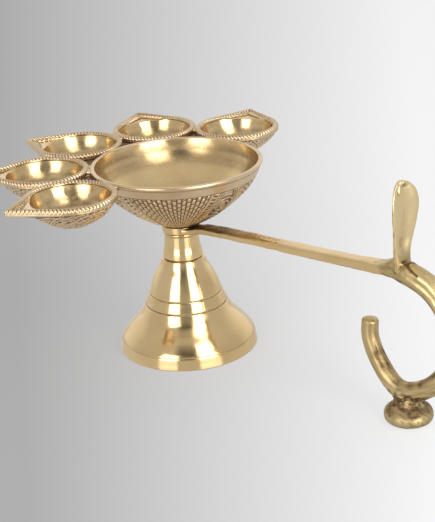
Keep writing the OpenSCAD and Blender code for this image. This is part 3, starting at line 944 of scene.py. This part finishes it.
def make_casting():
    """Finger loop, thumb leaf and button foot as one brazed piece."""
    bar_z = bar_line()[-1][1]
    parts = [
        loop_part(), leaf_part(), button_part(),
        # from the bar and the loop's root up into the leaf
        gusset([[bar_z - 2.5, 122.5, 7.5, 3.0], [bar_z - 1.4, 121.0, 10.5, 4.4],
                [bar_z + 1.2, 119.8, 11.0, 4.7], [bar_z + 3.4, 122.2, 5.8, 4.9],
                [bar_z + 6.4, 123.6, 1.9, 4.9], [bar_z + 9.5, LEAF_X - 0.3, 0.4, 4.0]]),
        # from the loop's underside down into the button
        gusset([[6.6, BUTTON_X, 6.6, 6.4], [8.6, BUTTON_X - 0.5, 6.0, 4.9],
                [10.6, BUTTON_X - 1.2, 6.6, 4.1], [13.0, BUTTON_X - 2.2, 8.2, 3.6]]),
    ]
    mesh = fused("finger_loop_casting", parts, voxel=0.34, rounds=5)
    co = read(mesh.vertices, "co", 3) / MM
    x, y, z = co.T
    # the cast skin is rough over the button, and under the leaf
    at_button = (1 - step_up(z, 11.5, 15)) * step_up(z, 6, 8.5)
    at_leaf = np.exp(-(((x - 126) / 6)**2 + ((z - bar_z - 3) / 3)**2))
    rough = np.clip(at_button + 0.3 * at_leaf, 0, 1)
    dents = 0.05 * uneven(co, 7, 71) + (0.012 + 0.17 * rough) * uneven(co, 2.6, 72)
    # seams: a crevice beside the foot of the leaf, and one where the loop was laid on the button
    seam = ridge(0.55 * (x - 128.5) + (z - bar_z - 4.4) - 0.4 * np.sin(0.9 * y), 0.7)
    seam = seam * (x > 126) * (x < 134) * (z > bar_z)
    low_seam = ridge(z - 10.9 - 0.25 * (x - BUTTON_X) + 0.3 * np.sin(1.3 * y + x), 0.8)
    low_seam = low_seam * (np.abs(x - 128) < 7)
    dents = dents - 0.55 * seam - 0.6 * low_seam
    # the base and the leaf's tip keep their places
    inside = step_up(z, 0.5, 1.5) * (1 - step_up(z, 100.5, 102.5))
    push(mesh, (dents - 0.08) * inside)
    mark_relief(mesh, 9, 0.2)
    # grime gathers in the joints and in streaks along the rod, painted shade darkens the underside, and the
    # loop's inner side and the low part of the button are darker
    normal = read(mesh.vertices, "normal", 3)
    under = step_up(-normal[:, 2], 0.0, 0.8)
    from_x, from_z = x - LOOP_CENTRE[0], z - LOOP_CENTRE[1]
    around = np.arctan2(from_z, from_x)
    streak = uneven(np.stack([6 * around, 2.2 * y, 1.4 * np.hypot(from_x, from_z)], 1), 3.2, 76)
    inner = step_up(-(normal[:, 0] * np.cos(around) + normal[:, 2] * np.sin(around)), 0.15, 0.75)
    inner = inner * (z < bar_z + 2)
    grime_and_shade = 0.95 * rough * (0.6 + 0.6 * uneven(co, 3.0, 74)) + 0.6 * under * (0.6 + 0.6 * uneven(co, 5, 75))
    grime_and_shade = grime_and_shade + 0.35 * step_up(streak, 0.1, 1.2) * (z < bar_z + 3) + seam + low_seam
    tail = step_up(z, 26, 34) * (1 - step_up(z, 44, 50))
    grime_and_shade = grime_and_shade + inner * (0.45 + 0.35 * uneven(co, 6, 77)) * (1 - tail) + 0.3 * (z < 9.5)
    # the leaf is rubbed clean, and so is the bar's end, but the leaf's edges, where its face turns away,
    # get painted shade
    leaf = step_up(z, bar_z + 4, bar_z + 12)
    leaf_edge_shade = step_up(np.abs(normal[:, 1]), 0.3, 0.9) * (0.3 + 0.3 * uneven(co, 4, 78))
    store(mesh, "grime_and_shade", np.clip(np.clip(grime_and_shade, 0, 1) * (1 - 0.7 * leaf) + leaf * leaf_edge_shade, 0, 1))
    store(mesh, "worn", np.maximum(0.8 * leaf, 0.6 * (1 - step_up(x, 110, 121)) * (z > 50)))
    piece(mesh, "handle", ["finger_loop", "thumb_leaf", "button_foot"], [CAST])


# ---- scene

# where the camera stands: direction and height as angles, and distance in metres
VIEW_AZIMUTH = math.radians(46.3)
VIEW_HEIGHT = 0.437
VIEW_DISTANCE = 0.62037
# where it looks, in degrees: away from the bell's axis, down from level, and its tilt
YAW, DOWN, ROLL = -1.604, 21.6, -3.61
LENS = 89.67


def add_camera():
    data = bpy.data.cameras.new("camera")
    data.lens = LENS
    data.sensor_width = 36
    camera = bpy.data.objects.new("camera", data)
    bpy.context.scene.collection.objects.link(camera)
    flat = VIEW_DISTANCE * math.cos(VIEW_HEIGHT)
    place = Matrix.Translation((flat * math.sin(VIEW_AZIMUTH), -flat * math.cos(VIEW_AZIMUTH),
                                VIEW_DISTANCE * math.sin(VIEW_HEIGHT)))
    turn = Matrix.Rotation(VIEW_AZIMUTH + math.radians(YAW), 4, "Z")
    tip = Matrix.Rotation(math.radians(90 - DOWN), 4, "X")
    camera.matrix_world = place @ turn @ tip @ Matrix.Rotation(math.radians(ROLL), 4, "Z")
    bpy.context.scene.camera = camera


def add_softbox(name, side, width, low, high, radiance, distance=1.5):
    """A tall soft light beside the camera. side is its angle from the camera's, and low and high are the
    heights of its ends in metres."""
    data = bpy.data.lights.new(name, "AREA")
    data.shape = "RECTANGLE"
    data.size = width
    data.size_y = high - low
    data.energy = radiance * math.pi * width * (high - low)
    data.color = (1.0, 0.985, 0.95)
    light = bpy.data.objects.new(name, data)
    bpy.context.scene.collection.objects.link(light)
    a = VIEW_AZIMUTH + math.radians(side)
    place = Matrix.Translation((distance * math.sin(a), -distance * math.cos(a), (low + high) / 2))
    light.matrix_world = place @ Matrix.Rotation(a, 4, "Z") @ Matrix.Rotation(math.radians(90), 4, "X")
    light.visible_camera = False


# the floor's colour runs from dark to bright as painted light, and most of its brightness is its own glow
FLOOR_LEFT = rgb(0.425, 0.425, 0.427)
FLOOR_RIGHT = rgb(0.915, 0.915, 0.92)
FLOOR_GLOW = 0.78
FLOOR_MATTE = 0.22
FLOOR_HALF = 7.0
# half the tone's run, per metre of reach
FLOOR_RUN = 0.157


def add_floor():
    n = Nodes(bpy.data.materials.new("floor"))
    where = n.add("ShaderNodeTexCoord").outputs["Object"]
    # painted light: the tone runs from dark at the left to bright at the right, as light falling off,
    # fanning out from a spot on the floor in front of the lamp
    a = VIEW_AZIMUTH
    front = VIEW_DISTANCE * math.cos(VIEW_HEIGHT)
    spot = (front * math.sin(a), -front * math.cos(a), 0)
    a += math.radians(YAW)
    from_spot = n.add("ShaderNodeVectorMath", {0: where, 1: spot}, operation="SUBTRACT").outputs[0]
    across = n.add("ShaderNodeVectorMath", {0: from_spot, 1: (math.cos(a), math.sin(a), 0)},
                   operation="DOT_PRODUCT").outputs["Value"]
    ahead = n.add("ShaderNodeVectorMath", {0: from_spot, 1: (-math.sin(a), math.cos(a), 0)},
                  operation="DOT_PRODUCT").outputs["Value"]
    reach = n.math("ADD", n.math("MULTIPLY", n.math("MAXIMUM", ahead, 0.3), 0.93), 0.0966)
    share = n.ranged(n.math("DIVIDE", across, reach), -FLOOR_RUN, FLOOR_RUN, -0.5, 0.5)
    # away from the lamp the floor turns to one even tone
    fade = n.math("MULTIPLY", n.ranged(ahead, 0.05, 0.35, 0.0, 1.0), n.ranged(ahead, 1.6, 3.0, 1.0, 0.0))
    share = n.math("ADD", n.math("MULTIPLY", share, fade), 0.5)
    colour = n.mixed(share, FLOOR_LEFT, FLOOR_RIGHT)
    matte = n.add("ShaderNodeBsdfDiffuse", {"Color": n.mixed(FLOOR_MATTE, rgb(0, 0, 0), colour)})
    glow = n.add("ShaderNodeEmission", {"Color": colour, "Strength": FLOOR_GLOW})
    lit = n.add("ShaderNodeAddShader", {0: matte.outputs[0], 1: glow.outputs[0]})
    # from below the floor can be seen through
    behind = n.add("ShaderNodeNewGeometry").outputs["Backfacing"]
    both = n.add("ShaderNodeMixShader", {0: behind, 1: lit.outputs[0],
                                         2: n.add("ShaderNodeBsdfTransparent").outputs[0]})
    n.add("ShaderNodeOutputMaterial", {"Surface": both.outputs[0]})
    corners = [(FLOOR_HALF * x, FLOOR_HALF * y, 0) for x, y in ((-1, -1), (1, -1), (1, 1), (-1, 1))]
    mesh = bpy.data.meshes.new("floor")
    mesh.from_pydata(corners, [], [(0, 1, 2, 3)])
    mesh.materials.append(n.owner)
    floor = bpy.data.objects.new("floor", mesh)
    bpy.context.scene.collection.objects.link(floor)
    # reflections look past the floor to the room and the feet of the softboxes, as over a low stand
    floor.visible_glossy = False


ROOM = rgb(0.62, 0.62, 0.63)
ROOM_HIGH = rgb(0.74, 0.74, 0.74)
ROOM_DIM = rgb(0.62, 0.62, 0.62)
ROOM_DARK = rgb(0.10, 0.10, 0.10)
ROOM_BACK = rgb(0.98, 0.98, 0.98)
ROOM_LOW = rgb(0.70, 0.70, 0.70)
BACKDROP = rgb(0.72, 0.72, 0.73)
# the dark gap between the softboxes, in degrees: its turn from the camera, and its fading edge
GAP_TURN = 3
GAP_INNER = 18
GAP_OUTER = 34


def add_room():
    """Even pale surroundings, with a darker room behind the camera that only reflections show."""
    world = bpy.data.worlds.new("room")
    bpy.context.scene.world = world
    n = Nodes(world)
    toward = n.add("ShaderNodeTexCoord").outputs["Generated"]
    split = n.add("ShaderNodeSeparateXYZ", {0: toward})
    rise = split.outputs[2]
    level = n.add("ShaderNodeCombineXYZ", {0: split.outputs[0], 1: split.outputs[1]}).outputs[0]
    level = n.add("ShaderNodeVectorMath", {0: level}, operation="NORMALIZE").outputs[0]
    a = VIEW_AZIMUTH - math.radians(GAP_TURN)
    facing = n.add("ShaderNodeVectorMath", {0: level, 1: (math.sin(a), -math.cos(a), 0)},
                   operation="DOT_PRODUCT").outputs["Value"]
    # the room is brighter high up and low behind the lamp, with its own tone below the horizon
    side = n.mixed(n.ranged(rise, 0.6, 0.9, 0.0, 1.0), ROOM, ROOM_HIGH)
    far = n.math("MULTIPLY", n.ranged(facing, -0.2, -0.8, 0.0, 1.0), n.ranged(rise, 0.75, 0.5, 0.0, 1.0))
    under = n.ranged(rise, 0.02, -0.12, 0.0, 1.0)
    seen = n.mixed(under, n.mixed(far, side, ROOM_BACK), ROOM_LOW)
    # the gap between the softboxes is dim at the horizon and dark higher up
    near = n.ranged(facing, math.cos(math.radians(GAP_OUTER)), math.cos(math.radians(GAP_INNER)), 0.0, 1.0)
    low = n.ranged(rise, 0.92, 0.75, 0.0, 1.0)
    gap = n.mixed(n.ranged(rise, 0.0, 0.75, 0.0, 1.0), ROOM_DIM, ROOM_DARK)
    seen = n.mixed(n.math("MULTIPLY", near, low), seen, gap)
    straight = n.add("ShaderNodeLightPath").outputs["Is Camera Ray"]
    colour = n.mixed(straight, seen, BACKDROP)
    background = n.add("ShaderNodeBackground", {"Color": colour, "Strength": 1.0})
    n.add("ShaderNodeOutputWorld", {"Surface": background.outputs[0]})


make_bell()
make_neck()
lathe_piece("bell_washer", ring_outline("bell_washer"), "foot", HARDWARE)
make_nut()
make_stud()
lathe_piece("seat_washer", ring_outline("seat_washer"), "lift", HARDWARE, cut=0.12)
make_bowl()
for number in range(1, 6):
    make_cup(number)
make_webs()
make_bar()
make_casting()

add_camera()
add_softbox("softbox_left", side=-37, width=0.80, low=0.0, high=1.35, radiance=3.5)
add_softbox("softbox_right", side=33, width=0.95, low=0.0, high=2.60, radiance=3.9)
# dimmer lower ends of the softboxes, for the reflections that look past the floor
add_softbox("spill_left", side=-37, width=0.80, low=-0.75, high=0.0, radiance=0.78)
add_softbox("spill_right", side=33, width=0.95, low=-0.75, high=0.0, radiance=0.94)
add_floor()
add_room()
bpy.context.scene.view_settings.view_transform = "Standard"
